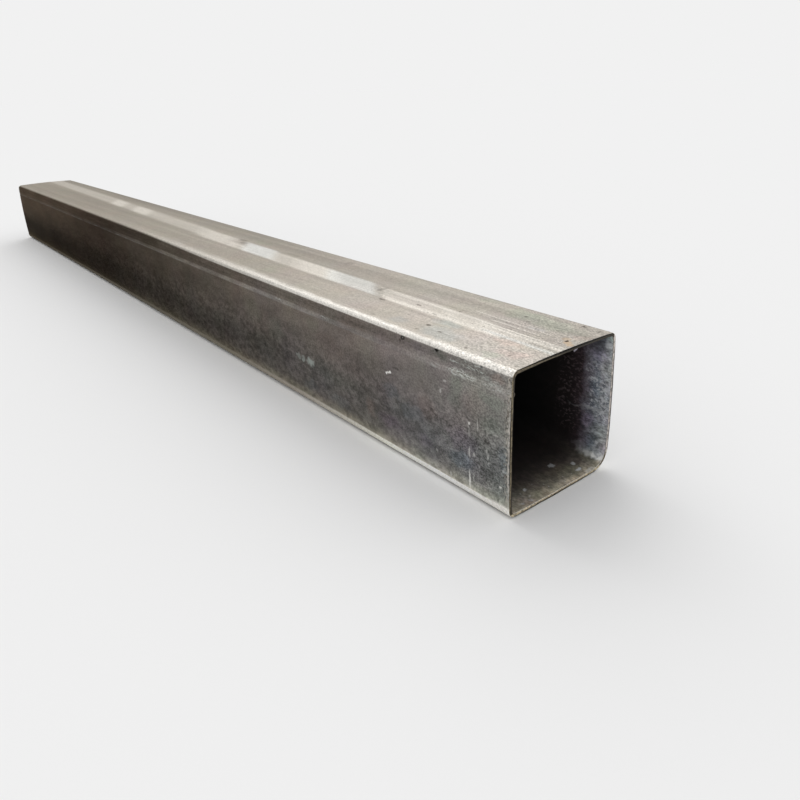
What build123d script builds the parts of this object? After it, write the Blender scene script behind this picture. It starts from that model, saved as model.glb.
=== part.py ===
# One length of cold-formed square steel tube, welded along one side.
#
# Strip steel is rolled round, its edges are butt welded by electric resistance, the flash is
# shaved off outside and left as a bead inside, and sizing rolls press the round into a square.
# Each length is then sawn square, and its end edges are broken with a file.
#
# Millimetres. +X along the tube, +Z up. The origin is under the middle of the resting face.
import os

from build123d import *

# The stock
LENGTH = 1000.0
WIDTH = 80.0
WALL = 2.0

# Outside corner radii: the sizing rolls left the bottom corner on the +Y side wider
CORNER_RADIUS = 4.0
WIDE_CORNER_RADIUS = 11.0

# The weld, on the -Y side, just under the top corner
SEAM_HEIGHT = 68.0
SCARF_WIDTH = 5.0
SCARF_DEPTH = 0.12
BEAD_WIDTH = 2.6
BEAD_HEIGHT = 0.6
BEAD_TOE_RADIUS = 0.4

# File breaks on the sawn ends
OUTER_BREAK = 0.4
INNER_BREAK = 0.3

HALF_WIDTH = WIDTH / 2
INNER_FACE_Y = -HALF_WIDTH + WALL


# The section is drawn looking along the tube: sketch X is the tube's Y, and sketch Y its Z.

def rounded_square(inset):
    """The square outline, drawn in from the outside by inset, with concentric corners."""
    side = WIDTH - 2 * inset
    square = Pos(0, HALF_WIDTH) * Rectangle(side, side)
    wide_corner = Vertex(side / 2, inset, 0)
    tight_corners = square.vertices().sort_by_distance(wide_corner)[1:]
    square = fillet(tight_corners, CORNER_RADIUS - inset)
    last_corner = square.vertices().sort_by_distance(wide_corner)[0]
    return fillet(last_corner, WIDE_CORNER_RADIUS - inset)


def seam_segment(face_y, width, rise):
    """Circular segment on a side face at the weld: rise is how far its arc stands inwards."""
    top = (face_y, SEAM_HEIGHT + width / 2)
    middle = (face_y + rise, SEAM_HEIGHT)
    bottom = (face_y, SEAM_HEIGHT - width / 2)
    return make_face([ThreePointArc(top, middle, bottom), Line(bottom, top)])


def scarf_cut():
    """The shallow hollow that the shaving blade leaves where the outside flash stood."""
    return seam_segment(-HALF_WIDTH, SCARF_WIDTH, SCARF_DEPTH)


def inside_bead():
    """The crowned bead of flash that stays on the inner face."""
    return seam_segment(INNER_FACE_Y, BEAD_WIDTH, BEAD_HEIGHT)


def blend_bead_toes(section):
    """Rounds the two hollows where the bead runs out onto the wall."""
    bead_root = Vertex(INNER_FACE_Y, SEAM_HEIGHT, 0)
    toes = section.vertices().sort_by_distance(bead_root)[:2]
    return fillet(toes, BEAD_TOE_RADIUS)


def tube_section():
    """The wall all round, with the weld's scarf outside and its bead inside."""
    ring = rounded_square(0) - scarf_cut() - rounded_square(WALL) + inside_bead()
    return blend_bead_toes(ring)


def sawn_ends(tube):
    """The two end faces, which are the lowest and the highest along X."""
    faces = tube.faces().sort_by(Axis.X)
    return faces[0], faces[-1]


def break_end_edges(tube):
    """File breaks round the outside, and then round the inside, of both sawn ends."""
    outside = [edge for end in sawn_ends(tube) for edge in end.outer_wire().edges()]
    tube = chamfer(outside, OUTER_BREAK)
    inside = [edge for end in sawn_ends(tube) for edge in end.inner_wires()[0].edges()]
    return chamfer(inside, INNER_BREAK)


square_tube = extrude(Plane.YZ * tube_section(), LENGTH / 2, both=True)
square_tube = break_end_edges(square_tube)

os.makedirs("parts", exist_ok=True)
export_step(square_tube, "parts/square_tube.step")
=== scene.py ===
"""One length of bare square steel tube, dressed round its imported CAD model."""

import math

import bmesh
import bpy
from mathutils import Matrix, Vector, noise


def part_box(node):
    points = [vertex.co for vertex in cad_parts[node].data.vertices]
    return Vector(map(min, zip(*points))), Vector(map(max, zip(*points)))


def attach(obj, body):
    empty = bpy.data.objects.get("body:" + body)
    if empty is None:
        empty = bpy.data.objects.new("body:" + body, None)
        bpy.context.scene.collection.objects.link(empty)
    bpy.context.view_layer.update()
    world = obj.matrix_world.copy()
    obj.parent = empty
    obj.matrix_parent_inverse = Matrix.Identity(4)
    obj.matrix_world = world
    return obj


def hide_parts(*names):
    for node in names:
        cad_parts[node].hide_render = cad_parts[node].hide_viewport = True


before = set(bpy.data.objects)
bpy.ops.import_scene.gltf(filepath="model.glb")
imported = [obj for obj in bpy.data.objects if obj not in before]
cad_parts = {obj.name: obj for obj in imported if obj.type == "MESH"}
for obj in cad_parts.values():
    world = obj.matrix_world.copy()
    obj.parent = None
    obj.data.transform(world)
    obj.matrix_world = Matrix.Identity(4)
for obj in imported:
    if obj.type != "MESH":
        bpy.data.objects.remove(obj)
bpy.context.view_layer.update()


# ------------ The drawn tube
# A strip of 2 mm mild steel, rolled round, welded along its edges and pressed square, then
# sawn off at both ends. The mesh is made the same way round: a square end with its corners
# rounded and its wall inset, drawn out along X in steps that shorten towards the sawn ends.

MM = 0.001
tube_low, tube_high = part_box("square_tube")
LENGTH = tube_high.x - tube_low.x
WIDTH = tube_high.z - tube_low.z
HALF = WIDTH / 2
WALL = 2 * MM
CORNER_RADIUS = 4 * MM
WIDE_CORNER_RADIUS = 11 * MM
CORNER_SEGMENTS = 8
SIDE_CUTS = 47

SHORTEST_STEP = 0.5 * MM
LONGEST_STEP = 25 * MM
STEP_GROWTH = 1.5


def draw_out_steps(length):
    """Step lengths from end to end: short at both ends, growing to the longest between them."""
    ramp = [SHORTEST_STEP]
    while ramp[-1] * STEP_GROWTH < LONGEST_STEP:
        ramp.append(ramp[-1] * STEP_GROWTH)
    middle = length - 2 * sum(ramp)
    count = math.ceil(middle / LONGEST_STEP)
    return [*ramp, *[middle / count] * count, *reversed(ramp)]


def round_corner(mesh, corners, radius):
    """Rounds corners of the flat end square to an arc of the given radius."""
    bmesh.ops.bevel(
        mesh, geom=corners, offset=radius, offset_type="OFFSET", segments=CORNER_SEGMENTS,
        profile=0.5, affect="VERTICES", material=-1,
    )


def end_ring(x):
    """The tube's flat end at x: a ring one wall wide, in a new bmesh."""
    mesh = bmesh.new()
    bmesh.ops.create_grid(mesh, x_segments=1, y_segments=1, size=HALF)
    quarter_turn = Matrix.Rotation(math.radians(90), 3, "Y")
    bmesh.ops.rotate(mesh, verts=mesh.verts, cent=(0, 0, 0), matrix=quarter_turn)
    bmesh.ops.translate(mesh, verts=mesh.verts, vec=(x, 0, HALF))
    wide = [v for v in mesh.verts if v.co.y > 0 and v.co.z < HALF]
    round_corner(mesh, wide, WIDE_CORNER_RADIUS)
    tight = [v for v in mesh.verts if min(e.calc_length() for e in v.link_edges) > HALF]
    round_corner(mesh, tight, CORNER_RADIUS)
    sides = [e for e in mesh.edges if e.calc_length() > HALF]
    bmesh.ops.subdivide_edges(mesh, edges=sides, cuts=SIDE_CUTS)
    opening = mesh.faces[:]
    bmesh.ops.inset_region(mesh, faces=opening, thickness=WALL, use_even_offset=True, use_boundary=True)
    bmesh.ops.delete(mesh, geom=opening, context="FACES")
    return mesh


def draw_out(mesh):
    """Extrudes the end ring along X, one step at a time, to the tube's other end."""
    ring = mesh.faces[:] + mesh.edges[:]
    for step in draw_out_steps(LENGTH):
        drawn = bmesh.ops.extrude_face_region(mesh, geom=ring)["geom"]
        moved = [part for part in drawn if isinstance(part, bmesh.types.BMVert)]
        ring = [part for part in drawn if not isinstance(part, bmesh.types.BMVert)]
        bmesh.ops.translate(mesh, verts=moved, vec=(step, 0, 0))


tube = end_ring(tube_low.x)


# ------------ The weld seam
# The strip's edges were butt welded by electric resistance. Outside, a blade shaved the flash
# off and left a shallow hollow. Inside, a crowned bead stays on the wall, a little uneven.

SEAM_HEIGHT = 68 * MM
SCARF_WIDTH = 5 * MM
SCARF_DEPTH = 0.12 * MM
BEAD_WIDTH = 2.6 * MM
BEAD_HEIGHT = 0.6 * MM
BEAD_CHATTER = 0.3
CHATTER_LENGTH = 9 * MM
SEAM_CUTS = 12
TOUCHING = 0.001 * MM


def cut_wall(mesh, height):
    """Cuts the end ring's seam wall across at one height."""
    wall = [f for f in mesh.faces if f.calc_center_median().y < WALL - HALF]
    parts = {*wall, *(e for f in wall for e in f.edges), *(v for f in wall for v in f.verts)}
    bmesh.ops.bisect_plane(
        mesh, geom=list(parts), dist=TOUCHING, plane_co=(0, 0, height), plane_no=(0, 0, 1)
    )


def rise(distance, width):
    """Height of a low arc at a distance from its middle: 1 there, and 0 at half its width."""
    return max(0.0, 1 - (2 * distance / width) ** 2)


for cut in range(SEAM_CUTS + 1):
    cut_wall(tube, SEAM_HEIGHT + SCARF_WIDTH * (cut / SEAM_CUTS - 0.5))
draw_out(tube)
for v in tube.verts:
    off_seam = v.co.z - SEAM_HEIGHT
    if abs(v.co.y + HALF) < WALL / 4:
        v.co.y += SCARF_DEPTH * rise(off_seam, SCARF_WIDTH)
    elif abs(v.co.y + HALF - WALL) < WALL / 4:
        chatter = 1 + BEAD_CHATTER * noise.noise(Vector((v.co.x / CHATTER_LENGTH, 0, 0)))
        v.co.y += BEAD_HEIGHT * chatter * rise(off_seam, BEAD_WIDTH)


# ------------ The sawn ends
# Both ends are sawn square and their edges are broken with a file, unevenly. The rolls leave
# each side a hair's breadth crowned, so that its middle stands a little proud of the corners.

OUTER_BREAK = 0.45 * MM
INNER_BREAK = 0.3 * MM
BREAK_SEGMENTS = 2
CROWN = 0.025
FILE_REACH = 2.2 * MM
FILE_BITE = 0.22 * MM
BITES_PER_MM = 0.35
NICKS_PER_MM = 1.3
NICK_SHARE = 0.25
SAW_WANDER = 0.14 * MM
WANDERS_PER_MM = 0.09


def rim_edges(mesh, outside):
    """The sharp edges round both ends, of the outside or of the bore."""
    at_end = [e for e in mesh.edges if all(LENGTH / 2 - abs(v.co.x) < TOUCHING for v in e.verts)]
    found = []
    for edge in at_end:
        skin = [f for f in edge.link_faces if abs(f.normal.x) < 0.5]
        if len(skin) != 1:
            continue
        centre = skin[0].calc_center_median() - Vector((0, 0, HALF))
        if (skin[0].normal.dot(centre) > 0) == outside:
            found.append(edge)
    return found


def break_edges(mesh, edges, size):
    """Breaks sharp edges as a file does."""
    bmesh.ops.bevel(
        mesh, geom=edges, offset=size, offset_type="OFFSET", segments=BREAK_SEGMENTS,
        profile=0.5, affect="EDGES", material=-1,
    )


bmesh.ops.recalc_face_normals(tube, faces=tube.faces)
break_edges(tube, rim_edges(tube, outside=True), OUTER_BREAK)
break_edges(tube, rim_edges(tube, outside=False), INNER_BREAK)
for v in tube.verts:
    across, up = v.co.y / HALF, (v.co.z - HALF) / HALF
    end = math.copysign(LENGTH / 2, v.co.x)
    from_end = abs(end - v.co.x)
    v.co.y *= 1 - CROWN * up * up
    v.co.z = HALF + (v.co.z - HALF) * (1 - CROWN * across * across)
    if from_end < FILE_REACH:
        fading = 1 - from_end / FILE_REACH
        round_rim = Vector((v.co.y, v.co.z, end)) / MM
        nicks = NICK_SHARE * noise.noise(round_rim * NICKS_PER_MM)
        bite = max(0.0, noise.noise(round_rim * BITES_PER_MM) + nicks)
        outward = Vector((0, v.co.y, v.co.z - HALF)).normalized()
        v.co -= outward * bite * FILE_BITE * fading
        wander = SAW_WANDER * (0.5 + noise.noise(round_rim * WANDERS_PER_MM)) * fading
        v.co.x -= math.copysign(max(0.0, wander), end)


# ------------ The burr
# The saw pushed a thin lip of steel over the bore's edge. The file took most of it off, but one
# sliver still hangs from the roof at the near end, curled inwards and narrowing to a ragged tip.

BURR_SET_BACK = 0.45 * MM
BURR_PLACE = 6.8 * MM
BURR_SUNK = 0.3 * MM
BURR_ROOT = Vector((LENGTH / 2 - BURR_SET_BACK, BURR_PLACE, WIDTH - WALL + BURR_SUNK))
BURR_HALF_WIDTH = 1.7 * MM
BURR_NARROWS = 0.35
BURR_DROP = 3.0 * MM
BURR_MIDDLE, BURR_SIDES_SHORTER, BURR_TEETH = 0.75, 0.35, 0.4
TEETH_PLACE = Vector((0, 0, 7))
TEETH_SPREAD = Vector((3, 0, 0))
BURR_CURL = 0.9 * MM
BURR_THICKNESS = 0.12 * MM

burr = bmesh.new()
bmesh.ops.create_grid(burr, x_segments=12, y_segments=8, size=1)
for v in burr.verts:
    side, down = v.co.x, (1 - v.co.y) / 2
    teeth = BURR_TEETH * noise.noise(TEETH_PLACE + TEETH_SPREAD * side)
    drop = BURR_DROP * down * (BURR_MIDDLE - BURR_SIDES_SHORTER * abs(side) + teeth)
    narrowed = side * BURR_HALF_WIDTH * (1 - BURR_NARROWS * down)
    v.co = BURR_ROOT + Vector((-BURR_CURL * down * down, narrowed, -drop))
burr.normal_update()
bmesh.ops.solidify(burr, geom=burr.faces[:], thickness=BURR_THICKNESS)
bmesh.ops.recalc_face_normals(burr, faces=burr.faces[:])


# ------------ The outer skin
# Bare mild steel as the rolls left it: dark oxide on the walls, rubbed to a warm light grey on
# top and burnished where the rolls pressed. The walls' darkness against the top is partly painted
# shade. Storage and handling add pits, smears and rust.

FLOAT, VECTOR, COLOUR = "NodeSocketFloat", "NodeSocketVector", "NodeSocketColor"


def set_inputs(tree, node, inputs):
    """Gives a node its inputs. Each one is another node's output or a value."""
    for key, value in inputs.items():
        socket = node.inputs[key]
        if isinstance(value, bpy.types.NodeSocket):
            tree.links.new(value, socket)
        else:
            socket.default_value = (*value, 1) if socket.type == "RGBA" else value


def add(tree, kind, inputs, **settings):
    """Adds a shader node with its inputs and its settings."""
    made = tree.nodes.new(kind)
    for name, value in settings.items():
        setattr(made, name, value)
    set_inputs(tree, made, inputs)
    return made


def maths(tree, operation, first, second=0.0):
    """One sum, product or comparison of two values or masks."""
    return add(tree, "ShaderNodeMath", {0: first, 1: second}, operation=operation).outputs["Value"]


def product(tree, first, *others):
    """Values or masks multiplied together."""
    for other in others:
        first = maths(tree, "MULTIPLY", first, other)
    return first


def scaled(tree, vector, factor):
    """A vector or a colour made longer or lighter by one factor."""
    inputs = {0: vector, "Scale": factor}
    return add(tree, "ShaderNodeVectorMath", inputs, operation="SCALE").outputs["Vector"]


def by_axes(tree, operation, first, second):
    """Two vectors or colours worked together, axis by axis."""
    inputs = {0: first, 1: second}
    return add(tree, "ShaderNodeVectorMath", inputs, operation=operation).outputs["Vector"]


def joined(tree, x, y, z=0.0):
    """A vector of three values."""
    return add(tree, "ShaderNodeCombineXYZ", {"X": x, "Y": y, "Z": z}).outputs["Vector"]


def eased(tree, value, low, high):
    """Rises smoothly from 0 at low to 1 at high, or falls where high is below low."""
    limits = {"Value": value, "From Min": low, "From Max": high}
    return add(tree, "ShaderNodeMapRange", limits, interpolation_type="SMOOTHSTEP").outputs["Result"]


def spread(tree, mask, low, high):
    """A mask's 0 to 1 spread from low to high."""
    limits = {"Value": mask, "To Min": low, "To Max": high}
    return add(tree, "ShaderNodeMapRange", limits).outputs["Result"]


def blended(tree, mask, first, second):
    """A value that goes from the first to the second as the mask rises."""
    return add(tree, "ShaderNodeMix", {0: mask, 2: first, 3: second}).outputs[0]


def lay(tree, under, over, mask):
    """Lays one colour over another where the mask is 1."""
    return add(tree, "ShaderNodeMix", {0: mask, 6: under, 7: over}, data_type="RGBA").outputs[2]


def varied(tree, colour, pattern, depth):
    """A colour made lighter and darker by a pattern, by up to the depth given."""
    darkest, lightest = maths(tree, "SUBTRACT", 1.0, depth), maths(tree, "ADD", 1.0, depth)
    return scaled(tree, colour, spread(tree, pattern, darkest, lightest))


def start_group(name, inputs, output="Mask", kind=FLOAT):
    """Opens a node group with one output. Returns it, its given inputs and its end node."""
    group = bpy.data.node_groups.new(name, "ShaderNodeTree")
    for socket, socket_kind in inputs.items():
        group.interface.new_socket(name=socket, in_out="INPUT", socket_type=socket_kind)
    group.interface.new_socket(name=output, in_out="OUTPUT", socket_type=kind)
    return group, group.nodes.new("NodeGroupInput").outputs, group.nodes.new("NodeGroupOutput")


def use(tree, group, **inputs):
    """Places a node group and returns its output. A name's underscore stands for a space."""
    given = {name.replace("_", " "): value for name, value in inputs.items()}
    return add(tree, "ShaderNodeGroup", given, node_tree=group).outputs[0]


# Lines and mottle: noise drawn out along the tube by Length and across it by Width.
rolled_grain, given, end = start_group(
    "rolled_grain",
    {"Position": VECTOR, "Length": FLOAT, "Width": FLOAT, "Detail": FLOAT, "Low": FLOAT, "High": FLOAT},
)
drawn_size = joined(rolled_grain, given["Length"], given["Width"], given["Width"])
drawn_place = by_axes(rolled_grain, "DIVIDE", given["Position"], drawn_size)
noise_inputs = {"Vector": drawn_place, "Scale": 1.0, "Detail": given["Detail"], "Roughness": 0.55}
grain = add(rolled_grain, "ShaderNodeTexNoise", noise_inputs).outputs["Fac"]
rolled_grain.links.new(eased(rolled_grain, grain, given["Low"], given["High"]), end.inputs["Mask"])


def streaks(tree, position, length, width, detail, low, high):
    """Rolled grain of one length and width in mm. It is clear below low and full above high."""
    return use(
        tree, rolled_grain, Position=position, Length=length, Width=width, Detail=detail,
        Low=low, High=high,
    )


# A zone of one coordinate from Low to High, with edges that fade over twice Soft.
zone, given, end = start_group("zone", {"Value": FLOAT, "Low": FLOAT, "High": FLOAT, "Soft": FLOAT})
faded = []
for edge, from_to in (("Low", ("SUBTRACT", "ADD")), ("High", ("ADD", "SUBTRACT"))):
    limits = [maths(zone, operation, given[edge], given["Soft"]) for operation in from_to]
    faded.append(eased(zone, given["Value"], *limits))
zone.links.new(product(zone, *faded), end.inputs["Mask"])


def within(tree, value, low, high, soft):
    """1 where a value lies from low to high, with soft edges, and 0 elsewhere."""
    return use(tree, zone, Value=value, Low=low, High=high, Soft=soft)


# A placed mark: an oval at Centre, full in its middle and gone at Half Size.
mark, given, end = start_group("mark", {"Position": VECTOR, "Centre": VECTOR, "Half Size": VECTOR})
off = by_axes(mark, "SUBTRACT", given["Position"], given["Centre"])
off = by_axes(mark, "DIVIDE", off, given["Half Size"])
far = add(mark, "ShaderNodeVectorMath", {0: off}, operation="LENGTH").outputs["Value"]
mark.links.new(eased(mark, far, 1.0, 0.4), end.inputs["Mask"])

# Scattered dots: one in each cell of Spacing, of which only a Share shows.
dots, given, end = start_group(
    "dots", {"Position": VECTOR, "Spacing": FLOAT, "Radius": FLOAT, "Share": FLOAT}
)
cell_size = joined(dots, given["Spacing"], given["Spacing"], given["Spacing"])
cell_place = by_axes(dots, "DIVIDE", given["Position"], cell_size)
cells = add(dots, "ShaderNodeTexVoronoi", {"Vector": cell_place, "Scale": 1.0})
away = product(dots, cells.outputs["Distance"], given["Spacing"])
dot = eased(dots, away, given["Radius"], 0.0)
chance = add(dots, "ShaderNodeSeparateColor", {"Color": cells.outputs["Color"]}).outputs["Red"]
shown = maths(dots, "LESS_THAN", chance, given["Share"])
dots.links.new(product(dots, dot, shown), end.inputs["Mask"])


def drifting(tree, position, size):
    """Three values that drift either way from 0, in patches of a size."""
    place = scaled(tree, position, maths(tree, "DIVIDE", 1.0, size))
    drift = add(tree, "ShaderNodeTexNoise", {"Vector": place, "Scale": 1.0}).outputs["Color"]
    return by_axes(tree, "SUBTRACT", drift, (0.5, 0.5, 0.5))


# A place that wanders by up to Reach, so that what is drawn by it gets ragged edges.
stray, given, end = start_group(
    "stray", {"Position": VECTOR, "Size": FLOAT, "Reach": FLOAT}, "Place", VECTOR
)
wander = drifting(stray, given["Position"], given["Size"])
wander = scaled(stray, wander, product(stray, given["Reach"], 4.0))
stray.links.new(by_axes(stray, "ADD", given["Position"], wander), end.inputs["Place"])

# Thin oxide of uneven thickness: a faint drift of tint, as a factor for the colour under it.
tarnish, given, end = start_group(
    "tarnish", {"Position": VECTOR, "Size": FLOAT, "Depth": FLOAT}, "Tint", COLOUR
)
drift = scaled(tarnish, drifting(tarnish, given["Position"], given["Size"]), given["Depth"])
tarnish.links.new(by_axes(tarnish, "ADD", drift, (1.0, 1.0, 1.0)), end.inputs["Tint"])


def gathered(tree, position, marks):
    """One mask of many placed marks. A mark is its centre, its half size and its strength."""
    total = 0.0
    for centre, half_size, strength in marks:
        oval = use(tree, mark, Position=position, Centre=centre, Half_Size=half_size)
        total = maths(tree, "MAXIMUM", product(tree, oval, strength), total)
    return total


UNTINTED = (1, 1, 1)


def tinged(tree, colour, position, tints):
    """A colour multiplied by tints, each within its own marks."""
    for tint, marks in tints:
        tinge = lay(tree, UNTINTED, tint, gathered(tree, position, marks))
        colour = by_axes(tree, "MULTIPLY", colour, tinge)
    return colour


def open_finish(name):
    """A new material. Returns it, its tree, its shader and the place on the tube in mm."""
    material = bpy.data.materials.new(name)
    material.use_nodes = True
    tree = material.node_tree
    place = scaled(tree, add(tree, "ShaderNodeTexCoord", {}).outputs["Object"], 1 / MM)
    return material, tree, tree.nodes["Principled BSDF"], place


def coordinates(tree, place):
    """The x, y and z of a place."""
    return add(tree, "ShaderNodeSeparateXYZ", {"Vector": place}).outputs


def raise_relief(tree, shader, height):
    """Gives a finish its relief, by a height in mm."""
    bump = add(tree, "ShaderNodeBump", {"Height": height, "Distance": MM, "Strength": 1.0})
    set_inputs(tree, shader, {"Normal": bump.outputs["Normal"]})


def finish_along(tree, distance, reach, stops):
    """A colour that changes with a distance in mm, up to reach. A stop is a distance and a colour."""
    share = maths(tree, "DIVIDE", distance, reach)
    ramp = add(tree, "ShaderNodeValToRGB", {"Fac": share})
    elements = ramp.color_ramp.elements
    while len(elements) < len(stops):
        elements.new(1.0)
    for element, (stop, colour) in zip(elements, stops):
        element.position = stop / reach
        element.color = (*colour, 1)
    return ramp.outputs["Color"]


# Sizes and places on the skin are in mm: x along the tube, y across it, z up from its foot.
END = LENGTH / 2 / MM
TOP = WIDTH / MM
SIDE = HALF / MM
MARK_DEPTH = 7.0
SEAM_LINE = SEAM_HEIGHT / MM


def from_sawn_end(tree, x):
    """The distance in mm to the nearer sawn end."""
    return maths(tree, "SUBTRACT", END, maths(tree, "ABSOLUTE", x))


def on_wall(marks, wall=-SIDE):
    """Marks on the seam's wall or another, each given as x, z, half sizes along x and z, strength."""
    return [((a, wall, b), (half_a, MARK_DEPTH, half_b), s) for a, b, half_a, half_b, s in marks]


def on_level(marks, level=TOP, depth=MARK_DEPTH):
    """Marks on the top or another level, each given as x, y, half sizes along x and y, strength."""
    return [((a, b, level), (half_a, half_b, depth), s) for a, b, half_a, half_b, s in marks]


skin, tree, skin_shader, place = open_finish("mill_skin")
x, y, z = coordinates(tree, place)
along = maths(tree, "SUBTRACT", END, x)
near_end = eased(tree, along, 68.0, 22.0)
ragged = use(tree, stray, Position=place, Size=1.6, Reach=0.45)
loose = use(tree, stray, Position=place, Size=9.0, Reach=3.0)
fine_grain = streaks(tree, place, length=1.15, width=0.9, detail=1.0, low=0.25, high=0.75)
mottle = streaks(tree, place, length=4.2, width=3.2, detail=3.0, low=0.27, high=0.73)
cloud = streaks(tree, place, length=46.0, width=15.0, detail=3.0, low=0.27, high=0.73)

# The walls keep their oxide, blue-grey by the sawn end and browner and darker along the tube.
# The darkening along the tube is partly oxide and partly painted shade.
OXIDE_AND_FAR_SHADE = [
    (0, (0.246, 0.243, 0.232)),
    (50, (0.212, 0.200, 0.194)),
    (125, (0.170, 0.152, 0.139)),
    (175, (0.165, 0.149, 0.136)),
    (280, (0.128, 0.112, 0.098)),
    (400, (0.085, 0.074, 0.062)),
    (600, (0.043, 0.034, 0.028)),
    (1000, (0.062, 0.048, 0.035)),
]
wall = finish_along(tree, along, 2 * END, OXIDE_AND_FAR_SHADE)

# Painted light and shade by height: a wall is lighter towards its upper corner and its foot,
# and its middle is painted dark and cool.
WALL_LIGHT_BY_HEIGHT = [
    (0, (0.86, 0.84, 0.79)),
    (1.1, (0.86, 0.84, 0.79)),
    (2.0, (1.50, 1.50, 1.35)),
    (6.5, (1.30, 1.33, 1.20)),
    (9, (0.97, 1.00, 0.92)),
    (13, (0.72, 0.74, 0.74)),
    (20, (0.57, 0.59, 0.61)),
    (30, (0.50, 0.52, 0.53)),
    (40, (0.55, 0.545, 0.55)),
    (50, (0.595, 0.585, 0.575)),
    (62, (0.67, 0.65, 0.63)),
    (80, (0.63, 0.605, 0.575)),
]
WALL_LIGHT_FULL = 1.75
wall = by_axes(tree, "MULTIPLY", wall, finish_along(tree, z, TOP, WALL_LIGHT_BY_HEIGHT))
wall = scaled(tree, wall, WALL_LIGHT_FULL)
# Painted shade darkens the lower half away from the sawn end. Far along, the wall is darker low and
# lighter high.
painted_low_far_shade = product(tree, eased(tree, z, 42.0, 22.0), eased(tree, along, 70.0, 220.0))
wall = scaled(tree, wall, spread(tree, painted_low_far_shade, 1.0, 0.76))
upper_lighter = spread(tree, eased(tree, z, 22.0, 56.0), 0.64, 1.42)
wall = scaled(tree, wall, blended(tree, eased(tree, along, 480.0, 850.0), 1.0, upper_lighter))
wall = by_axes(tree, "MULTIPLY", wall, use(tree, tarnish, Position=place, Size=24.0, Depth=0.12))

# Its mottle is deeper low down, and its grain is sharper by the sawn end.
low_down = eased(tree, z, 54.0, 36.0)
wall = varied(tree, wall, cloud, 0.15)
wall = varied(tree, wall, mottle, spread(tree, low_down, 0.12, 0.32))
sharp = product(tree, near_end, spread(tree, low_down, 0.4, 1.0))
above_foot = spread(tree, eased(tree, z, 6.0, 17.0), 0.35, 1.0)
wall = varied(tree, wall, fine_grain, product(tree, spread(tree, sharp, 0.20, 0.46), above_foot))

# Where the oxide is thinner or thicker it takes a tint: violet, blue, green or brown.
WALL_TINTS = [
    ((1.03, 0.96, 1.06), on_wall([
        (468, 33, 13, 9, 0.9), (407, 20, 14, 7, 0.9), (438, 20, 8, 7, 0.7), (430, 73, 19, 3, 0.3),
        (466, 72, 12, 2, 0.3),
    ])),
    ((0.92, 1.00, 1.07), on_wall([
        (468, 21, 13, 7, 1.0), (412, 41, 10, 6, 0.7), (428, 35, 14, 7, 0.6), (497, 31, 5, 9, 0.9),
        (358, 15, 16, 7, 0.6), (322, 16, 14, 5, 0.5),
    ])),
    ((0.95, 1.03, 0.98), on_wall([
        (463, 56, 8, 13, 1.0), (490, 61, 11, 6, 0.8), (489, 48, 9, 8, 0.6), (280, 45, 16, 12, 0.6),
        (246, 50, 18, 13, 0.5), (330, 61, 13, 7, 0.5),
    ])),
    ((1.06, 0.97, 0.94), on_wall([
        (390, 24, 6, 9, 0.9), (441, 41, 13, 8, 0.5), (476, 57, 9, 10, 0.3), (491, 73, 8, 3, 1.0),
        (350, 50, 20, 13, 0.4),
    ])),
    ((0.72, 0.78, 0.76), on_wall([(451, 72.5, 8, 4.5, 0.8)])),
]
wall = tinged(tree, wall, loose, WALL_TINTS)

# The strip under the top corner stays darkest. Drawn lines run along it.
under_edge = within(tree, z, 70.6, 79.0, 0.9)
wall_lines = streaks(tree, place, length=60.0, width=0.9, detail=3.0, low=0.3, high=0.7)
darkened = product(
    tree, spread(tree, wall_lines, 0.70, 0.98), spread(tree, eased(tree, along, 80.0, 400.0), 1.0, 1.22)
)
wall = scaled(tree, wall, blended(tree, under_edge, 1.0, darkened))

# The weld line runs lighter along one wall, where the blade shaved it, and cooler away from the
# sawn end. A thin pale line follows its lower edge.
SEAM_EDGE = (0.30, 0.29, 0.285)
SEAM_CAST = (0.96, 1.01, 1.06)
on_seam_wall = eased(tree, y, -30.0, -38.0)
seam_band = within(tree, z, SEAM_LINE - 1.9, SEAM_LINE + 1.4, 0.6)
seam_band = product(tree, seam_band, on_seam_wall)
seam_beats = streaks(tree, place, length=16.0, width=1.6, detail=3.0, low=0.3, high=0.7)
seam_gain = product(
    tree,
    spread(tree, eased(tree, along, 90.0, 320.0), 0.16, 1.05),
    spread(tree, eased(tree, along, 400.0, 620.0), 1.0, 0.35),
    spread(tree, seam_beats, 0.55, 1.0),
    seam_band,
)
wall = scaled(tree, wall, maths(tree, "ADD", seam_gain, 1.0))
seam_line = product(tree, within(tree, z, 66.4, 66.9, 0.5), on_seam_wall)
wall = lay(tree, wall, SEAM_EDGE, product(tree, seam_line, spread(tree, seam_beats, 0.0, 0.5)))
cooler = product(tree, seam_band, eased(tree, along, 40.0, 160.0))
wall = by_axes(tree, "MULTIPLY", wall, lay(tree, UNTINTED, SEAM_CAST, cooler))

# Pale smears of dried cutting fluid lie along the weld line near the sawn end.
SMEARED = (0.62, 0.65, 0.61)
SEAM_SMEARS = [
    (467, 68.3, 14, 2.9, 1.0), (490, 68.2, 13, 3.0, 0.48), (449, 67.2, 7, 2.0, 0.40),
    (475, 73.1, 10, 0.9, 1.0), (461, 73.3, 6, 0.8, 0.8), (476, 75.6, 10, 1.0, 0.65),
    (486, 70.6, 12, 2.0, 0.35), (345, 68.3, 6.6, 1.5, 0.5), (287, 68.2, 6.5, 1.4, 0.5),
]
smear_strokes = streaks(tree, ragged, length=3.4, width=0.8, detail=3.0, low=0.47, high=0.60)
smears = product(tree, gathered(tree, ragged, on_wall(SEAM_SMEARS)), smear_strokes)
wall = lay(tree, wall, SMEARED, product(tree, smears, 0.85))

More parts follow.
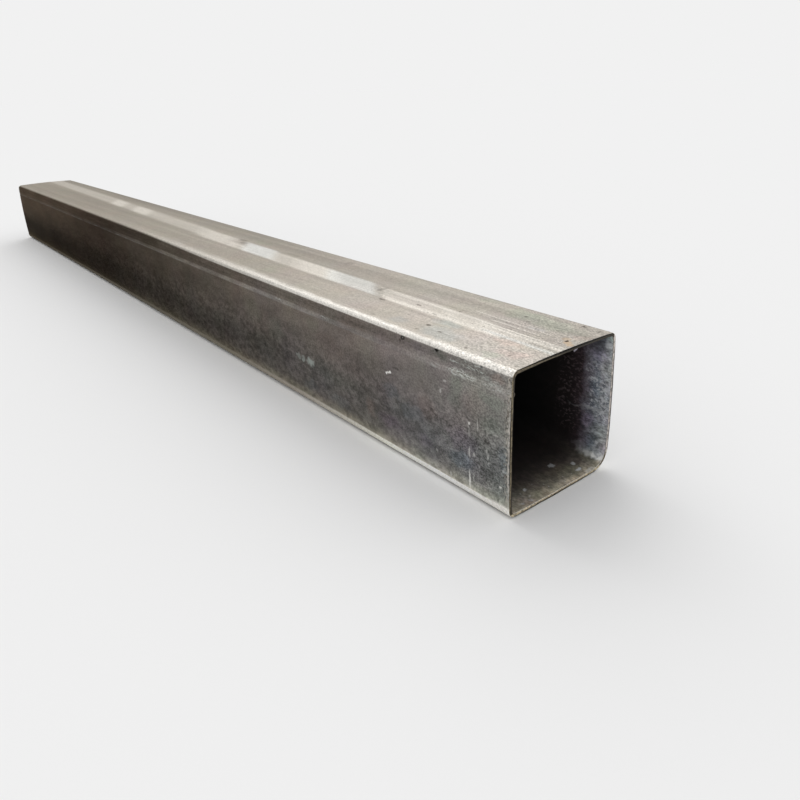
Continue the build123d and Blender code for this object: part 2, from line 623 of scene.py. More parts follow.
# Scrapes down the wall and specks of bright metal, and a dull smudge further along.
SCRAPED = (0.96, 0.95, 0.91)
SMUDGED = (0.33, 0.36, 0.335)
SCRAPES = [
    (407.0, 50.6, 1.2, 1.1, 1.0), (408.3, 51.2, 1.3, 0.9, 0.9), (409.9, 51.8, 1.6, 0.9, 1.0),
    (455.0, 60.7, 1.6, 1.2, 0.32), (451.9, 54.4, 0.9, 1.8, 0.36), (452.9, 56.0, 1.6, 0.6, 0.2),
    (472.8, 43.7, 1.0, 1.1, 0.7), (472.8, 39.4, 0.7, 5.7, 0.20), (473.0, 27.4, 0.8, 4.4, 0.45),
    (473.0, 11.6, 1.0, 7.0, 0.85), (478.8, 44.9, 0.6, 4.2, 0.30), (476.0, 14.4, 0.7, 3.3, 0.30),
    (458.6, 8.4, 0.9, 2.6, 0.4), (486.0, 30.0, 0.8, 1.9, 0.4), (486.7, 27.0, 0.7, 1.7, 0.3),
    (476.2, 27.4, 1.5, 1.0, 0.4), (494.2, 16.8, 1.5, 1.0, 0.7), (448.2, 18.6, 1.2, 1.3, 0.25),
    (496.2, 26.8, 1.2, 0.8, 0.3), (485.1, 32.8, 0.7, 1.1, 0.25), (442.0, 6.5, 1.5, 0.8, 0.3),
]
wall = lay(tree, wall, SCRAPED, product(tree, gathered(tree, ragged, on_wall(SCRAPES)), 0.85))
SMUDGES = [(324.5, 33.2, 6.0, 4.2, 1.0), (315.5, 32.5, 4.0, 2.6, 0.7), (309.0, 33.2, 4.0, 2.0, 0.5)]
smudges = gathered(tree, use(tree, stray, Position=place, Size=3.5, Reach=1.6), on_wall(SMUDGES))
wall = lay(tree, wall, SMUDGED, product(tree, smudges, 0.85))

# Dark spots of thick oxide and grease. The largest is worn through in its middle.
GREASE = (0.012, 0.011, 0.010)
WORN_THROUGH = (0.19, 0.18, 0.17)
SPOTS = [
    (448.6, 75.8, 2.0, 1.5, 1.0), (421.4, 75.3, 2.7, 2.0, 0.85), (419.1, 73.3, 1.0, 0.9, 0.6),
    (480.4, 76.2, 1.0, 0.8, 0.8), (409.5, 41.4, 1.9, 1.4, 0.35), (445.1, 41.5, 2.2, 1.3, 0.4),
    (448.3, 39.6, 2.5, 0.9, 0.4), (424.4, 34.1, 1.7, 1.2, 0.32), (440.5, 34.2, 2.1, 1.4, 0.32),
    (415.4, 35.7, 2.3, 1.7, 0.28), (403.2, 28.8, 4.7, 1.2, 0.28), (448.7, 29.0, 2.3, 1.3, 0.28),
    (450.0, 21.1, 2.4, 1.4, 0.3), (450.3, 12.2, 1.7, 0.9, 0.4), (406.5, 22.5, 2.4, 1.1, 0.3),
    (485.3, 38.3, 2.9, 2.1, 0.36), (481.7, 21.6, 1.7, 1.2, 0.36), (488.6, 22.0, 1.9, 1.8, 0.34),
    (486.0, 17.6, 1.7, 1.3, 0.28), (497.1, 23.0, 1.5, 2.6, 0.4), (492.4, 8.3, 0.9, 1.9, 0.45),
    (415.3, 55.6, 4.5, 0.9, 0.35), (445.0, 65.6, 1.4, 0.8, 0.4), (379.6, 48.3, 4.7, 8.5, 0.14),
    (393.8, 63.5, 1.1, 0.8, 0.25), (470.5, 34.5, 2.0, 1.3, 0.3), (495.6, 52.0, 1.2, 1.0, 0.3),
    (441.0, 38.5, 4.0, 2.0, 0.15), (463.0, 22.5, 2.6, 2.4, 0.2), (418.6, 20.5, 1.8, 2.0, 0.25),
    (452.5, 34.0, 2.2, 2.6, 0.22), (432.0, 28.6, 2.4, 1.2, 0.22), (475.5, 66.0, 0.9, 0.6, 0.6),
]
wall = lay(tree, wall, GREASE, gathered(tree, ragged, on_wall(SPOTS)))
worn_spot = gathered(tree, place, on_wall([(421.6, 75.2, 0.9, 0.7, 0.9)]))
wall = lay(tree, wall, WORN_THROUGH, worn_spot)

# By the sawn end the skin was bruised by the saw's clamp, in flecks of tan and umber, and its
# brink has a painted highlight.
BRUISED_TAN = (0.50, 0.465, 0.41)
BRUISED_UMBER = (0.060, 0.045, 0.032)
BRINK_HIGHLIGHT = (0.58, 0.55, 0.50)
by_end = from_sawn_end(tree, x)
bruised = eased(tree, by_end, 5.0, 0.6)
flecks = streaks(tree, place, length=0.9, width=2.0, detail=2.0, low=0.46, high=0.60)
wall = lay(tree, wall, BRUISED_TAN, product(tree, bruised, flecks, 0.9))
umber = streaks(tree, ragged, length=1.3, width=2.6, detail=2.0, low=0.54, high=0.64)
wall = lay(tree, wall, BRUISED_UMBER, product(tree, bruised, umber, 0.8))
brink_highlight = product(tree, eased(tree, by_end, 1.7, 0.9), within(tree, z, 9.0, 60.0, 4.0))
wall = lay(tree, wall, BRINK_HIGHLIGHT, product(tree, brink_highlight, spread(tree, flecks, 0.35, 0.9)))

# A painted highlight along the bottom corners, brightest near the sawn end.
FOOT_HIGHLIGHT_ALONG = [
    (0, (0.96, 0.93, 0.88)),
    (50, (1.0, 1.0, 0.97)),
    (90, (1.0, 1.0, 0.91)),
    (130, (0.77, 0.75, 0.68)),
    (190, (0.52, 0.48, 0.42)),
    (300, (0.31, 0.285, 0.23)),
    (480, (0.21, 0.19, 0.155)),
    (1000, (0.12, 0.10, 0.07)),
]
foot_highlight_to = spread(tree, eased(tree, along, 60.0, 260.0), 6.6, 7.7)
foot_highlight_to = maths(tree, "ADD", foot_highlight_to, spread(tree, eased(tree, along, 17.0, 8.0), 0.0, 1.7))
foot_highlight = product(tree, eased(tree, z, foot_highlight_to, 5.7), eased(tree, z, 1.0, 1.7))
foot_highlight_colour = varied(tree, finish_along(tree, along, 2 * END, FOOT_HIGHLIGHT_ALONG), fine_grain, 0.10)
wall = lay(tree, wall, foot_highlight_colour, foot_highlight)

# The top is rubbed light, in rolled lines, with burnished bands along its middle.
RUBBED = [
    (0, (0.500, 0.466, 0.420)),
    (120, (0.405, 0.376, 0.336)),
    (250, (0.345, 0.318, 0.280)),
    (480, (0.320, 0.295, 0.253)),
    (700, (0.275, 0.248, 0.208)),
    (1000, (0.262, 0.234, 0.190)),
]
top = finish_along(tree, along, 2 * END, RUBBED)
broad_lines = streaks(tree, place, length=420.0, width=7.0, detail=3.0, low=0.27, high=0.73)
top = varied(tree, top, broad_lines, 0.10)
far_side_gain = spread(tree, eased(tree, along, 380.0, 180.0), -0.16, 0.24)
far_side_gain = product(tree, eased(tree, y, 16.0, 36.0), far_side_gain)
top = scaled(tree, top, maths(tree, "ADD", far_side_gain, 1.0))
top = by_axes(tree, "MULTIPLY", top, use(tree, tarnish, Position=place, Size=24.0, Depth=0.08))
TOP_TINTS = [
    ((0.94, 0.99, 1.04), on_level([
        (433, -16, 14, 6, 1.0), (440, -28, 20, 9, 1.0), (471, 11, 9, 3, 0.6), (407, -30, 10, 5, 0.7),
    ])),
    ((1.04, 0.97, 0.96), on_level([
        (474, -14, 12, 6, 0.9), (487, -24, 12, 7, 0.9), (496, 17, 6, 7, 0.7),
    ])),
    ((0.95, 1.015, 0.96), on_level([
        (450, 25, 22, 11, 1.0), (474, 22, 25, 11, 0.9), (479, -31, 9, 5, 0.8), (417, 31, 13, 6, 0.7),
        (168, 16, 17, 6, 0.7), (256, -26, 15, 8, 0.5),
    ])),
]
top = tinged(tree, top, loose, TOP_TINTS)

# The rolls printed bright bands on it. They end in a slant and drift a little across the top.
BURNISHED = (0.735, 0.700, 0.640)
COOL_BURNISHED = (0.70, 0.71, 0.69)
PRESSED_DARK = (0.10, 0.09, 0.08)
PRINT_SLANT = 1.33
NEAR_DRIFT, NEAR_DRIFT_FROM = 0.03, 430.0
FAR_DRIFT, FAR_DRIFT_FROM = 0.022, 100.0
ROLL_BANDS = [
    # y from, y to, edge, x from, x to, edge, strength, colour
    (-9.5, 9.5, 2.0, 80, 146, 24, 0.58, BURNISHED),
    (-9.6, 0.0, 2.5, 138, 172, 8, 0.40, BURNISHED),
    (-9.7, 8.6, 1.8, 164, 216, 9, 0.70, COOL_BURNISHED),
    (-10.4, 6.4, 1.8, 212, 254, 10, 0.42, BURNISHED),
    (-10.8, 6.2, 1.8, 250, 302, 12, 0.66, BURNISHED),
    (-10.9, 5.8, 1.6, 290, 346, 7, 0.54, COOL_BURNISHED),
    (-11.6, 3.4, 1.2, 353, 420, 4, 0.38, BURNISHED),
    (-12.2, -7.8, 1.2, 358, 452, 8, 0.55, BURNISHED),
    (-0.8, 2.4, 0.9, 366, 452, 8, 0.45, BURNISHED),
    (-11.0, 1.8, 1.2, 412, 450, 7, 0.45, BURNISHED),
    (-0.1, 1.0, 0.45, 440, 504, 4, 1.00, BURNISHED),
    (-3.1, -1.9, 0.45, 442, 503, 4, 0.75, BURNISHED),
    (-9.8, -7.0, 1.1, 440, 505, 6, 0.55, COOL_BURNISHED),
    (-7.2, 0.0, 1.0, 438, 502, 5, 0.42, BURNISHED),
    (5.5, 6.6, 0.4, 452, 484, 3, 0.60, BURNISHED),
    (10.0, 11.1, 0.4, 444, 494, 3, 0.50, BURNISHED),
    (8.0, 9.3, 0.5, 452, 494, 3, 0.20, PRESSED_DARK),
    (3.6, 5.0, 0.5, 462, 500, 3, 0.18, PRESSED_DARK),
    (-6.8, -4.6, 0.6, 471, 492, 3, 0.32, PRESSED_DARK),
    (-7.0, 10.0, 3.0, -110, -64, 10, 0.45, BURNISHED),
    (-7.4, 9.6, 3.2, -186, -146, 10, 0.45, BURNISHED),
    (-7.0, 10.5, 3.4, -520, 90, 20, 0.34, BURNISHED),
]
near_drift = maths(tree, "MAXIMUM", maths(tree, "SUBTRACT", x, NEAR_DRIFT_FROM), 0.0)
far_drift = maths(tree, "MINIMUM", maths(tree, "SUBTRACT", x, FAR_DRIFT_FROM), 0.0)
near_drift, far_drift = product(tree, near_drift, NEAR_DRIFT), product(tree, far_drift, FAR_DRIFT)
print_y = maths(tree, "ADD", y, maths(tree, "ADD", near_drift, far_drift))
print_x = maths(tree, "ADD", x, product(tree, y, PRINT_SLANT))
print_x = maths(tree, "ADD", print_x, spread(tree, mottle, -2.0, 2.0))
for y_low, y_high, y_soft, x_low, x_high, x_soft, strength, printed in ROLL_BANDS:
    across = within(tree, print_y, y_low, y_high, y_soft)
    in_length = within(tree, print_x, x_low, x_high, x_soft)
    top = lay(tree, top, printed, product(tree, across, in_length, strength))

# One edge of the top is lighter, from the sawn end to past the middle: partly burnished and
# partly a painted highlight, and most on its arris, where it is a painted highlight.
EDGE_BURNISH_AND_HIGHLIGHT = (0.585, 0.562, 0.520)
ARRIS_HIGHLIGHT = (0.86, 0.83, 0.78)
edge_wander = streaks(tree, place, length=20.0, width=5.0, detail=3.0, low=0.3, high=0.7)
edge_from = maths(tree, "ADD", y, spread(tree, edge_wander, -0.9, 0.9))
edge_width = spread(tree, eased(tree, along, 90.0, 340.0), -35.3, -30.0)
edge_burnish_and_highlight = eased(tree, edge_from, edge_width, -37.2)
edge_reach = spread(tree, eased(tree, along, 560.0, 170.0), 0.15, 0.92)
top = lay(tree, top, EDGE_BURNISH_AND_HIGHLIGHT, product(tree, edge_burnish_and_highlight, edge_reach))
arris_highlight = product(tree, eased(tree, z, 79.0, 78.2), eased(tree, along, 300.0, 130.0), 0.45)
top = lay(tree, top, ARRIS_HIGHLIGHT, arris_highlight)

# Fine drawn lines and grain, and small pits.
fine_lines = streaks(tree, place, length=46.0, width=0.75, detail=3.0, low=0.27, high=0.73)
top = varied(tree, top, fine_lines, 0.07)
top = varied(tree, top, mottle, 0.06)
top = varied(tree, top, fine_grain, spread(tree, near_end, 0.16, 0.30))
PITTED = (0.13, 0.115, 0.10)
TOP_PITS = [
    (395.0, -5.0, 2.8, 1.3, 0.75), (420.9, 3.5, 1.5, 1.1, 0.5), (425.3, -24.2, 2.7, 1.4, 0.8),
    (437.8, -27.1, 2.1, 1.1, 0.65), (453.0, 23.1, 1.8, 1.5, 0.55), (459.8, 16.9, 1.8, 1.5, 0.5),
    (484.8, 32.3, 2.0, 1.6, 1.0), (495.1, 31.5, 1.3, 1.8, 0.75), (370.1, -13.3, 4.0, 1.3, 0.7),
    (414.3, -10.1, 3.4, 0.9, 0.45), (463.6, -33.0, 1.8, 1.3, 0.5), (468.6, -27.1, 1.6, 1.1, 0.4),
    (404.5, -20.4, 1.9, 1.0, 0.3), (436.4, 19.4, 2.1, 1.3, 0.3), (353.0, 0.5, 2.6, 6.5, 0.36),
    (279.5, 26.0, 5.5, 5.5, 0.25), (225.0, 11.0, 14.0, 2.6, 0.20), (461.7, 1.4, 1.5, 1.0, 0.35),
    (143.0, 9.5, 9.0, 3.4, 0.42), (153.0, 4.8, 8.0, 3.0, 0.36), (449.0, -6.0, 1.4, 1.0, 0.35),
    (468.0, -11.2, 1.5, 0.9, 0.5), (468.6, -17.0, 1.6, 1.0, 0.45), (425.0, -32.0, 2.2, 1.0, 0.45),
    (388.0, -33.4, 2.6, 1.4, 0.3), (480.0, 17.0, 1.8, 1.3, 0.4), (486.0, -26.0, 1.4, 1.2, 0.5),
    (417.0, 18.5, 2.4, 1.4, 0.25), (497.0, -33.0, 1.2, 1.2, 0.45), (399.0, -41.0, 2.4, 1.6, 0.4),
]
top_pits = gathered(tree, ragged, on_level(TOP_PITS))
small_pits = use(tree, dots, Position=ragged, Spacing=4.0, Radius=0.8, Share=0.5)
small_pits = product(tree, small_pits, eased(tree, along, 250.0, 80.0))
top = lay(tree, top, PITTED, maths(tree, "MAXIMUM", top_pits, product(tree, small_pits, 0.6)))

# A spot of rust by the sawn end has bled into the steel beside it.
RUST_HALO = (0.64, 0.47, 0.30)
RUST_CORE = (0.030, 0.016, 0.008)
HALO_MARKS = [(491.2, 9.8, 3.4, 3.4, 0.40), (494.6, 6.2, 3.0, 3.0, 0.60), (497.6, 4.2, 2.4, 2.6, 0.55)]
top = lay(tree, top, RUST_HALO, gathered(tree, ragged, on_level(HALO_MARKS)))
rust_core = gathered(tree, ragged, on_level([(493.2, 7.6, 1.25, 1.8, 1.0)]))
top = lay(tree, top, RUST_CORE, rust_core)

# The oxide creeps up over the corner towards the far end.
creeping = eased(tree, along, 260.0, 500.0)
above_brow = maths(tree, "SUBTRACT", z, spread(tree, creeping, 76.3, 77.8))
on_top = eased(tree, above_brow, -0.4, spread(tree, creeping, 0.4, 1.2))
# The top laid over the walls: the walls' darker colour is partly oxide and partly painted shade.
colour = lay(tree, wall, top, on_top)

# Rubbed steel shines more than oxide. Smears, smudges and rust are dull.
SKIN_GLINT = (0.42, 0.41, 0.40)
dull = maths(tree, "MAXIMUM", maths(tree, "MAXIMUM", smears, smudges), rust_core)
metallic = blended(tree, dull, 1.0, 0.55)
roughness = spread(tree, on_top, 0.58, 0.42)
roughness = maths(tree, "ADD", roughness, spread(tree, mottle, -0.04, 0.04))
roughness = maths(tree, "ADD", roughness, product(tree, dull, 0.15))
set_inputs(tree, skin_shader, {
    "Base Color": colour, "Metallic": metallic, "Roughness": roughness, "Specular Tint": SKIN_GLINT
})

# Relief, in mm: grain and drawn lines stand up a hundredth or so, and pits are sunk.
relief = maths(tree, "ADD", product(tree, fine_grain, 0.012), product(tree, fine_lines, 0.010))
relief = maths(tree, "SUBTRACT", relief, product(tree, small_pits, 0.06))
raise_relief(tree, skin_shader, relief)


# ------------ The bore
# The same strip's inner side, never cleaned: dusty and blue-grey by the ends, and dark scale
# beyond, with painted light at the mouth and painted shade deeper in. Its floor has gathered
# brown dirt.

bore, tree, bore_shader, place = open_finish("bore_scale")
ragged = use(tree, stray, Position=place, Size=6.0, Reach=1.6)
x, y, z = coordinates(tree, ragged)
by_end = from_sawn_end(tree, x)
MOUTH_REACH = 60.0
WALL_SCALE_AND_SHADE = [
    (0, (0.52, 0.53, 0.55)),
    (4, (0.42, 0.44, 0.465)),
    (8, (0.27, 0.285, 0.32)),
    (14, (0.175, 0.165, 0.195)),
    (19, (0.034, 0.021, 0.026)),
    (26, (0.010, 0.005, 0.005)),
    (36, (0.008, 0.0045, 0.0045)),
    (60, (0.001, 0.001, 0.001)),
]
FLOOR_DIRT_AND_SHADE = [
    (0, (0.38, 0.330, 0.255)),
    (5, (0.24, 0.215, 0.170)),
    (11, (0.110, 0.095, 0.076)),
    (18, (0.042, 0.033, 0.028)),
    (28, (0.012, 0.008, 0.007)),
    (60, (0.003, 0.002, 0.002)),
]
# Partly dust and scale, partly painted light and shade: wall and floor are lightest at the mouth and
# fade to near black deeper in. Painted shade darkens the wall under the roof by the mouth and low down
# further in.
wall_colour = finish_along(tree, by_end, MOUTH_REACH, WALL_SCALE_AND_SHADE)
painted_roof_shade = product(tree, eased(tree, z, 63.0, 70.0), eased(tree, by_end, 0.0, 7.0))
wall_colour = scaled(tree, wall_colour, spread(tree, painted_roof_shade, 1.0, 0.45))
painted_low_deep_shade = product(tree, eased(tree, z, 40.0, 20.0), eased(tree, by_end, 15.0, 30.0))
wall_colour = scaled(tree, wall_colour, spread(tree, painted_low_deep_shade, 1.0, 0.65))
BORE_TINTS = [
    ((1.05, 0.96, 1.04), on_wall([(487, 24, 6, 6, 0.8), (492, 64, 8, 6, 0.7)], wall=SIDE)),
    ((0.90, 1.02, 1.06), on_wall([(489, 12, 5, 6, 0.8), (491, 46, 5, 11, 0.7)], wall=SIDE)),
    ((0.90, 0.98, 0.88), on_wall([(497, 76, 10, 5, 1.0)], wall=SIDE)),
]
wall_colour = tinged(tree, wall_colour, ragged, BORE_TINTS)
on_floor = eased(tree, z, 9.0, 4.0)
colour = lay(tree, wall_colour, finish_along(tree, by_end, MOUTH_REACH, FLOOR_DIRT_AND_SHADE), on_floor)
colour = by_axes(tree, "MULTIPLY", colour, use(tree, tarnish, Position=place, Size=12.0, Depth=0.25))
blotches = streaks(tree, place, length=4.0, width=2.6, detail=2.0, low=0.30, high=0.70)
colour = varied(tree, colour, blotches, 0.30)
bore_grain = streaks(tree, place, length=1.7, width=0.95, detail=1.0, low=0.25, high=0.75)
colour = varied(tree, colour, bore_grain, spread(tree, on_floor, 0.42, 0.26))

# Where it turns dark, the scale still shows in lighter flecks.
SCALE_FLECK = (0.18, 0.14, 0.145)
scale_flecks = streaks(tree, place, length=2.1, width=1.25, detail=2.0, low=0.53, high=0.66)
fleck_depth = within(tree, by_end, 15.0, 33.0, 5.0)
fleck_height = within(tree, z, 16.0, 62.0, 8.0)
colour = lay(tree, colour, SCALE_FLECK, product(tree, scale_flecks, fleck_depth, fleck_height, 0.46))

# Damp has left darker blue spots on the wall by the mouth, and among them a white bloom. White
# streaks lie along the wall, painted highlights along the inner corner, and dried drops on the floor.
DAMP_BLUE = (0.085, 0.10, 0.13)
BLOOM_AND_HIGHLIGHT = (0.66, 0.68, 0.70)
mouth = within(tree, by_end, -1.0, 14.0, 2.5)
bloom_zone = product(tree, mouth, within(tree, z, 27.0, 60.0, 4.0))
damp_place = use(tree, stray, Position=place, Size=2.6, Reach=1.0)
damp = streaks(tree, damp_place, length=3.6, width=2.4, detail=2.0, low=0.52, high=0.62)
colour = lay(tree, colour, DAMP_BLUE, product(tree, damp, bloom_zone, 0.7))
bloom_and_highlight = streaks(tree, ragged, length=2.6, width=1.9, detail=3.0, low=0.53, high=0.62)
specks = use(tree, dots, Position=ragged, Spacing=3.4, Radius=0.9, Share=0.4)
bloom_and_highlight = maths(
    tree, "MAXIMUM", product(tree, bloom_and_highlight, bloom_zone, 0.8), product(tree, specks, mouth, 0.35)
)
WALL_STREAKS = [
    (491, 31.5, 12.0, 1.8, 0.45), (479, 30.1, 8.6, 1.1, 0.12), (497.4, 70.4, 2.6, 3.4, 0.6),
    (494.0, 63.0, 1.4, 1.2, 0.6), (493.5, 12.7, 1.5, 1.5, 0.75),
]
# Painted highlights along the wide inner corner by the mouth.
CORNER_HIGHLIGHTS = [
    ((495.2, 36.5, 4.6), (4.8, 4.2, 3.8), 0.70),
    ((489.0, 36.0, 5.4), (8.6, 4.6, 2.8), 0.26),
    ((483.5, 36.5, 8.0), (7.0, 4.0, 2.4), 0.10),
    ((498.5, 26.0, 2.5), (1.5, 5.0, 3.0), 0.35),
]
FLOOR_DROPS = [
    (488.7, 24.5, 1.9, 1.7, 0.55), (494.4, 21.7, 1.9, 3.0, 0.70), (481.7, 14.5, 2.2, 2.6, 0.38),
    (488.2, -14.9, 1.4, 1.5, 0.45), (496.5, -25.5, 1.3, 1.4, 0.45), (497.0, -20.0, 1.2, 1.6, 0.40),
]
streaks_drops_and_highlights = [
    *on_wall(WALL_STREAKS, wall=SIDE), *CORNER_HIGHLIGHTS, *on_level(FLOOR_DROPS, level=WALL / MM, depth=3)
]
bloom_and_highlight = maths(tree, "MAXIMUM", bloom_and_highlight, gathered(tree, damp_place, streaks_drops_and_highlights))
colour = lay(tree, colour, BLOOM_AND_HIGHLIGHT, bloom_and_highlight)
# A whiter painted highlight on the inner corner by the mouth.
CORNER_HIGHLIGHT_WHITE = (0.98, 0.98, 0.95)
CORNER_HIGHLIGHT_MARKS = [
    ((498.2, 35.8, 4.9), (3.6, 3.0, 3.0), 1.0),
    ((494.4, 35.8, 5.1), (4.8, 2.6, 2.2), 0.7),
    ((489.6, 35.6, 5.0), (4.6, 2.4, 1.8), 0.3),
]
colour = lay(tree, colour, CORNER_HIGHLIGHT_WHITE, gathered(tree, damp_place, CORNER_HIGHLIGHT_MARKS))

# The dust on the floor lies thicker deep under the seam's wall, and at the mouth away from it.
deep_floor = product(tree, on_floor, eased(tree, by_end, 2.0, 8.0), eased(tree, y, -6.0, -26.0))
colour = scaled(tree, colour, spread(tree, deep_floor, 1.0, 1.3))
front_floor = product(tree, on_floor, eased(tree, by_end, 8.0, 2.0), eased(tree, y, -24.0, -4.0))
colour = scaled(tree, colour, spread(tree, front_floor, 1.0, 1.25))
set_inputs(tree, bore_shader, {"Base Color": colour, "Metallic": 0.0, "Roughness": 0.7})
relief = maths(tree, "ADD", product(tree, blotches, 0.03), product(tree, bore_grain, 0.015))
raise_relief(tree, bore_shader, relief)


# ------------ The sawn faces
# Sawn bright, they have since gone dark brown where the saw's coolant dried, and their dark outer
# edges are partly painted shade. A tan line is left by the bore, where the saw broke through,
# palest at the foot. Fine saw lines cross them.

sawn, tree, sawn_shader, place = open_finish("sawn_steel")
x, y, z = coordinates(tree, place)
CORNER_FROM = (HALF - CORNER_RADIUS) / MM
past_corner = []
for from_middle in (y, maths(tree, "SUBTRACT", z, SIDE)):
    beyond = maths(tree, "SUBTRACT", maths(tree, "ABSOLUTE", from_middle), CORNER_FROM)
    past_corner.append(maths(tree, "MAXIMUM", beyond, 0.0))
past = joined(tree, *past_corner)
past = add(tree, "ShaderNodeVectorMath", {0: past}, operation="LENGTH").outputs["Value"]
from_outside = maths(tree, "SUBTRACT", CORNER_RADIUS / MM, past)
# Tones from the outside in. The dark outer part, on the filed break, is partly painted shade.
UPPER_TONES = [
    (0.0, (0.020, 0.016, 0.012)),
    (1.15, (0.018, 0.014, 0.010)),
    (1.45, (0.150, 0.124, 0.080)),
    (2.0, (0.120, 0.098, 0.065)),
]
SEAM_SIDE_TONES = [
    (0.0, (0.050, 0.040, 0.028)),
    (0.6, (0.020, 0.016, 0.011)),
    (1.0, (0.220, 0.184, 0.120)),
    (1.5, (0.180, 0.150, 0.098)),
    (1.9, (0.030, 0.024, 0.017)),
]
FOOT_TONES = [
    (0.0, (0.070, 0.056, 0.038)),
    (1.0, (0.050, 0.040, 0.028)),
    (1.4, (0.480, 0.410, 0.280)),
    (2.0, (0.560, 0.490, 0.350)),
]
FAR_SIDE_TONES = [
    (0.0, (0.035, 0.030, 0.028)),
    (1.1, (0.050, 0.044, 0.042)),
    (1.4, (0.440, 0.400, 0.370)),
    (2.0, (0.520, 0.480, 0.440)),
]
colour = finish_along(tree, from_outside, WALL / MM, UPPER_TONES)
burnt = product(tree, eased(tree, z, 70.0, 76.0), eased(tree, y, -16.0, 2.0))
colour = scaled(tree, colour, spread(tree, burnt, 1.0, 0.30))
SIDES = [
    (SEAM_SIDE_TONES, eased(tree, y, -37.0, -38.0)),
    (FAR_SIDE_TONES, eased(tree, y, 37.0, 38.0)),
    (FOOT_TONES, eased(tree, z, 3.4, 2.2)),
]
for tones, on_side in SIDES:
    colour = lay(tree, colour, finish_along(tree, from_outside, WALL / MM, tones), on_side)

# The burr, which hangs past the wall's inside, is bluish grey.
BURR_GREY = (0.34, 0.32, 0.37)
by_burr = gathered(tree, place, [((END, BURR_PLACE / MM, 76.0), (4.0, 5.0, 6.0), 1.0)])
colour = lay(tree, colour, BURR_GREY, product(tree, by_burr, eased(tree, from_outside, 2.1, 2.3)))
across_cut = joined(tree, y, z, x)
saw_lines = streaks(tree, across_cut, length=14.0, width=0.22, detail=3.0, low=0.3, high=0.7)
patches = streaks(tree, place, length=2.0, width=1.7, detail=3.0, low=0.3, high=0.7)
colour = varied(tree, colour, saw_lines, 0.15)
colour = varied(tree, colour, patches, 0.55)
roughness = spread(tree, patches, 0.42, 0.62)
set_inputs(tree, sawn_shader, {"Base Color": colour, "Metallic": 0.7, "Roughness": roughness})
raise_relief(tree, sawn_shader, product(tree, saw_lines, 0.02))


# ------------ The tube put together
# All of it is one piece of steel, with nothing fastened to it. It keeps three finishes: the mill
# skin outside, the scale in its bore, and bare metal on its sawn ends and the burr.

SKIN, BORE, SAWN = range(3)
SHARP_FROM = math.radians(32)


def finish_of(face):
    """Which finish a face of the tube takes: the outer skin, the bore or the sawn end."""
    if abs(face.normal.x) > 0.5:
        return SAWN
    from_middle = face.calc_center_median() - Vector((0, 0, HALF))
    return SKIN if face.normal.dot(from_middle) > 0 else BORE


tube.normal_update()
for face in tube.faces:
    face.material_index = finish_of(face)
for face in burr.faces:
    face.material_index = SAWN
burr_mesh = bpy.data.meshes.new("burr")
burr.to_mesh(burr_mesh)
burr.free()
tube.from_mesh(burr_mesh)
bpy.data.meshes.remove(burr_mesh)
for face in tube.faces:
    face.smooth = True

# Extruding leaves edges and faces in another order each run. They are put in that of their corners.
tube.verts.index_update()
for parts in (tube.edges, tube.faces):
    in_order = sorted(parts, key=lambda part: sorted(v.index for v in part.verts))
    for rank, part in enumerate(in_order):
        part.index = rank
    parts.sort()

# The finishes are baked on this map, in mm until it is scaled down. It has the skin's four sides
# as strips in two half lengths, the bore beside them with its dark middle pressed together, and
# the sawn ends enlarged.
STRIP = TOP + 1.0
BORE_FROM = END + 4.0
MOUTH = 45.0
MIDDLE_PRESSED = 0.06
BORE_HALF = MOUTH + (END - MOUTH) * MIDDLE_PRESSED
SAWN_ENLARGED = 1.6
SAWN_STEP = 132.0
MARGIN = Vector((1.0, 1.0))
MAP_SIZE = 652.0
baked = tube.loops.layers.uv.new("OFBake")
for face in tube.faces:
    middle = face.calc_center_median() / MM - Vector((0, 0, SIDE))
    reach = [middle.z, middle.y, -middle.z, -middle.y]
    strip = reach.index(max(reach))
    end_middle = 4 * STRIP + SAWN_STEP * (1.5 if middle.x > 0 else 0.5)
    for loop in face.loops:
        at = loop.vert.co / MM - Vector((0, 0, SIDE))
        in_strip = (strip + 0.5) * STRIP + (at.z if strip % 2 else at.y)
        if face.material_index == SKIN and middle.x > 0:
            spot = Vector((at.x, in_strip + 4 * STRIP))
        elif face.material_index == SKIN:
            spot = Vector((at.x + END, in_strip))
        elif face.material_index == BORE:
            inwards = END - abs(at.x)
            pressed = min(inwards, MOUTH) + max(inwards - MOUTH, 0.0) * MIDDLE_PRESSED
            from_bore_middle = math.copysign(BORE_HALF - pressed, at.x)
            spot = Vector((BORE_FROM + BORE_HALF + from_bore_middle, in_strip))
        else:
            spot = Vector((BORE_FROM + BORE_HALF, end_middle)) + Vector((at.y, at.z)) * SAWN_ENLARGED
        loop[baked].uv = (spot + MARGIN) / MAP_SIZE

tube_mesh = bpy.data.meshes.new("square_tube_steel")
tube.to_mesh(tube_mesh)
tube.free()
tube_mesh.set_sharp_from_angle(angle=SHARP_FROM)
for finish in (skin, bore, sawn):
    tube_mesh.materials.append(finish)
steel_tube = bpy.data.objects.new("steel_tube", tube_mesh)
bpy.context.scene.collection.objects.link(steel_tube)
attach(steel_tube, "root")
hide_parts("square_tube")


# ------------ The studio
# A pale plain floor without edges, under a soft even sky, with one broad soft lamp overhead. The
# floor's paint is matt, and is darkened so that it comes out as pale as the sky.

FLOOR_SIZE = 60.0
SKY_LEVEL = 0.88
LAMP_IRRADIANCE = 0.9
LAMP_ANGLE = math.radians(60)
LAMP_FROM = Vector((-0.75, 0.25, 0.6)).normalized()
FLOOR_REFLECTS = SKY_LEVEL / (SKY_LEVEL + LAMP_IRRADIANCE * LAMP_FROM.z / math.pi)

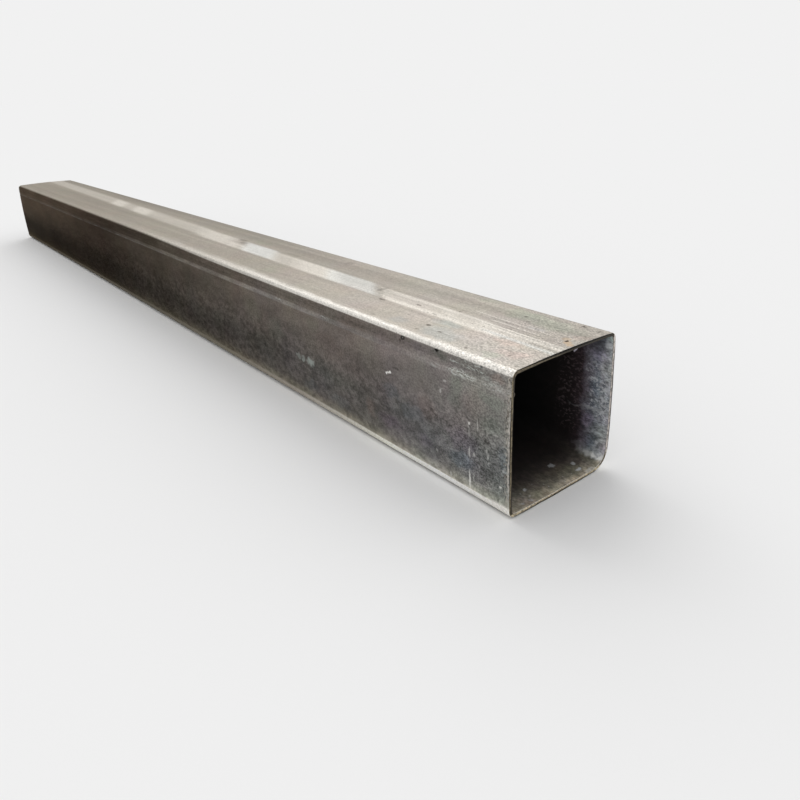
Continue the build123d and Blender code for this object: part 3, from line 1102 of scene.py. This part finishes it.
floor_mesh = bpy.data.meshes.new("floor")
floor_bm = bmesh.new()
bmesh.ops.create_grid(floor_bm, x_segments=1, y_segments=1, size=FLOOR_SIZE / 2)
floor_bm.to_mesh(floor_mesh)
floor_bm.free()
floor = bpy.data.objects.new("floor", floor_mesh)
bpy.context.scene.collection.objects.link(floor)
floor_paint = bpy.data.materials.new("floor_paint")
floor_paint.use_nodes = True
paint_tree = floor_paint.node_tree
set_inputs(paint_tree, paint_tree.nodes["Principled BSDF"], {
    "Base Color": [FLOOR_REFLECTS] * 3, "Roughness": 1.0, "Specular IOR Level": 0.0
})
floor_mesh.materials.append(floor_paint)

sky = bpy.data.worlds.new("studio_sky")
bpy.context.scene.world = sky
sky.use_nodes = True
set_inputs(sky.node_tree, sky.node_tree.nodes["Background"], {"Color": [SKY_LEVEL] * 3})

lamp_data = bpy.data.lights.new("overhead", "SUN")
lamp_data.energy = LAMP_IRRADIANCE
lamp_data.angle = LAMP_ANGLE
lamp = bpy.data.objects.new("overhead", lamp_data)
lamp.rotation_euler = LAMP_FROM.to_track_quat("Z", "Y").to_euler()
bpy.context.scene.collection.objects.link(lamp)


# ------------ The camera
# It stands a few tube widths from the near end and looks back along the tube from above. Its
# lens is shifted, so that the tube lies a little above the middle of the frame.

FRAME_PIXELS = 800
FOCAL_PIXELS = 694.2
SHIFT_PIXELS = -60
AZIMUTH = math.radians(51.832)
ELEVATION = math.radians(20.192)
ROLL = math.radians(-2.173)
FROM_NEAR_END = Vector((2.432, -3.195, 2.525)) * WIDTH

camera_data = bpy.data.cameras.new("camera")
camera_data.sensor_width = 36
camera_data.lens = camera_data.sensor_width * FOCAL_PIXELS / FRAME_PIXELS
camera_data.shift_y = SHIFT_PIXELS / FRAME_PIXELS
camera_data.clip_start = 0.01
camera = bpy.data.objects.new("camera", camera_data)
camera.matrix_world = (
    Matrix.Translation(Vector((tube_high.x, 0, 0)) + FROM_NEAR_END)
    @ Matrix.Rotation(AZIMUTH, 4, "Z")
    @ Matrix.Rotation(math.radians(90) - ELEVATION, 4, "X")
    @ Matrix.Rotation(ROLL, 4, "Z")
)
bpy.context.scene.collection.objects.link(camera)
bpy.context.scene.camera = camera

bpy.context.scene.view_settings.view_transform = "Standard"
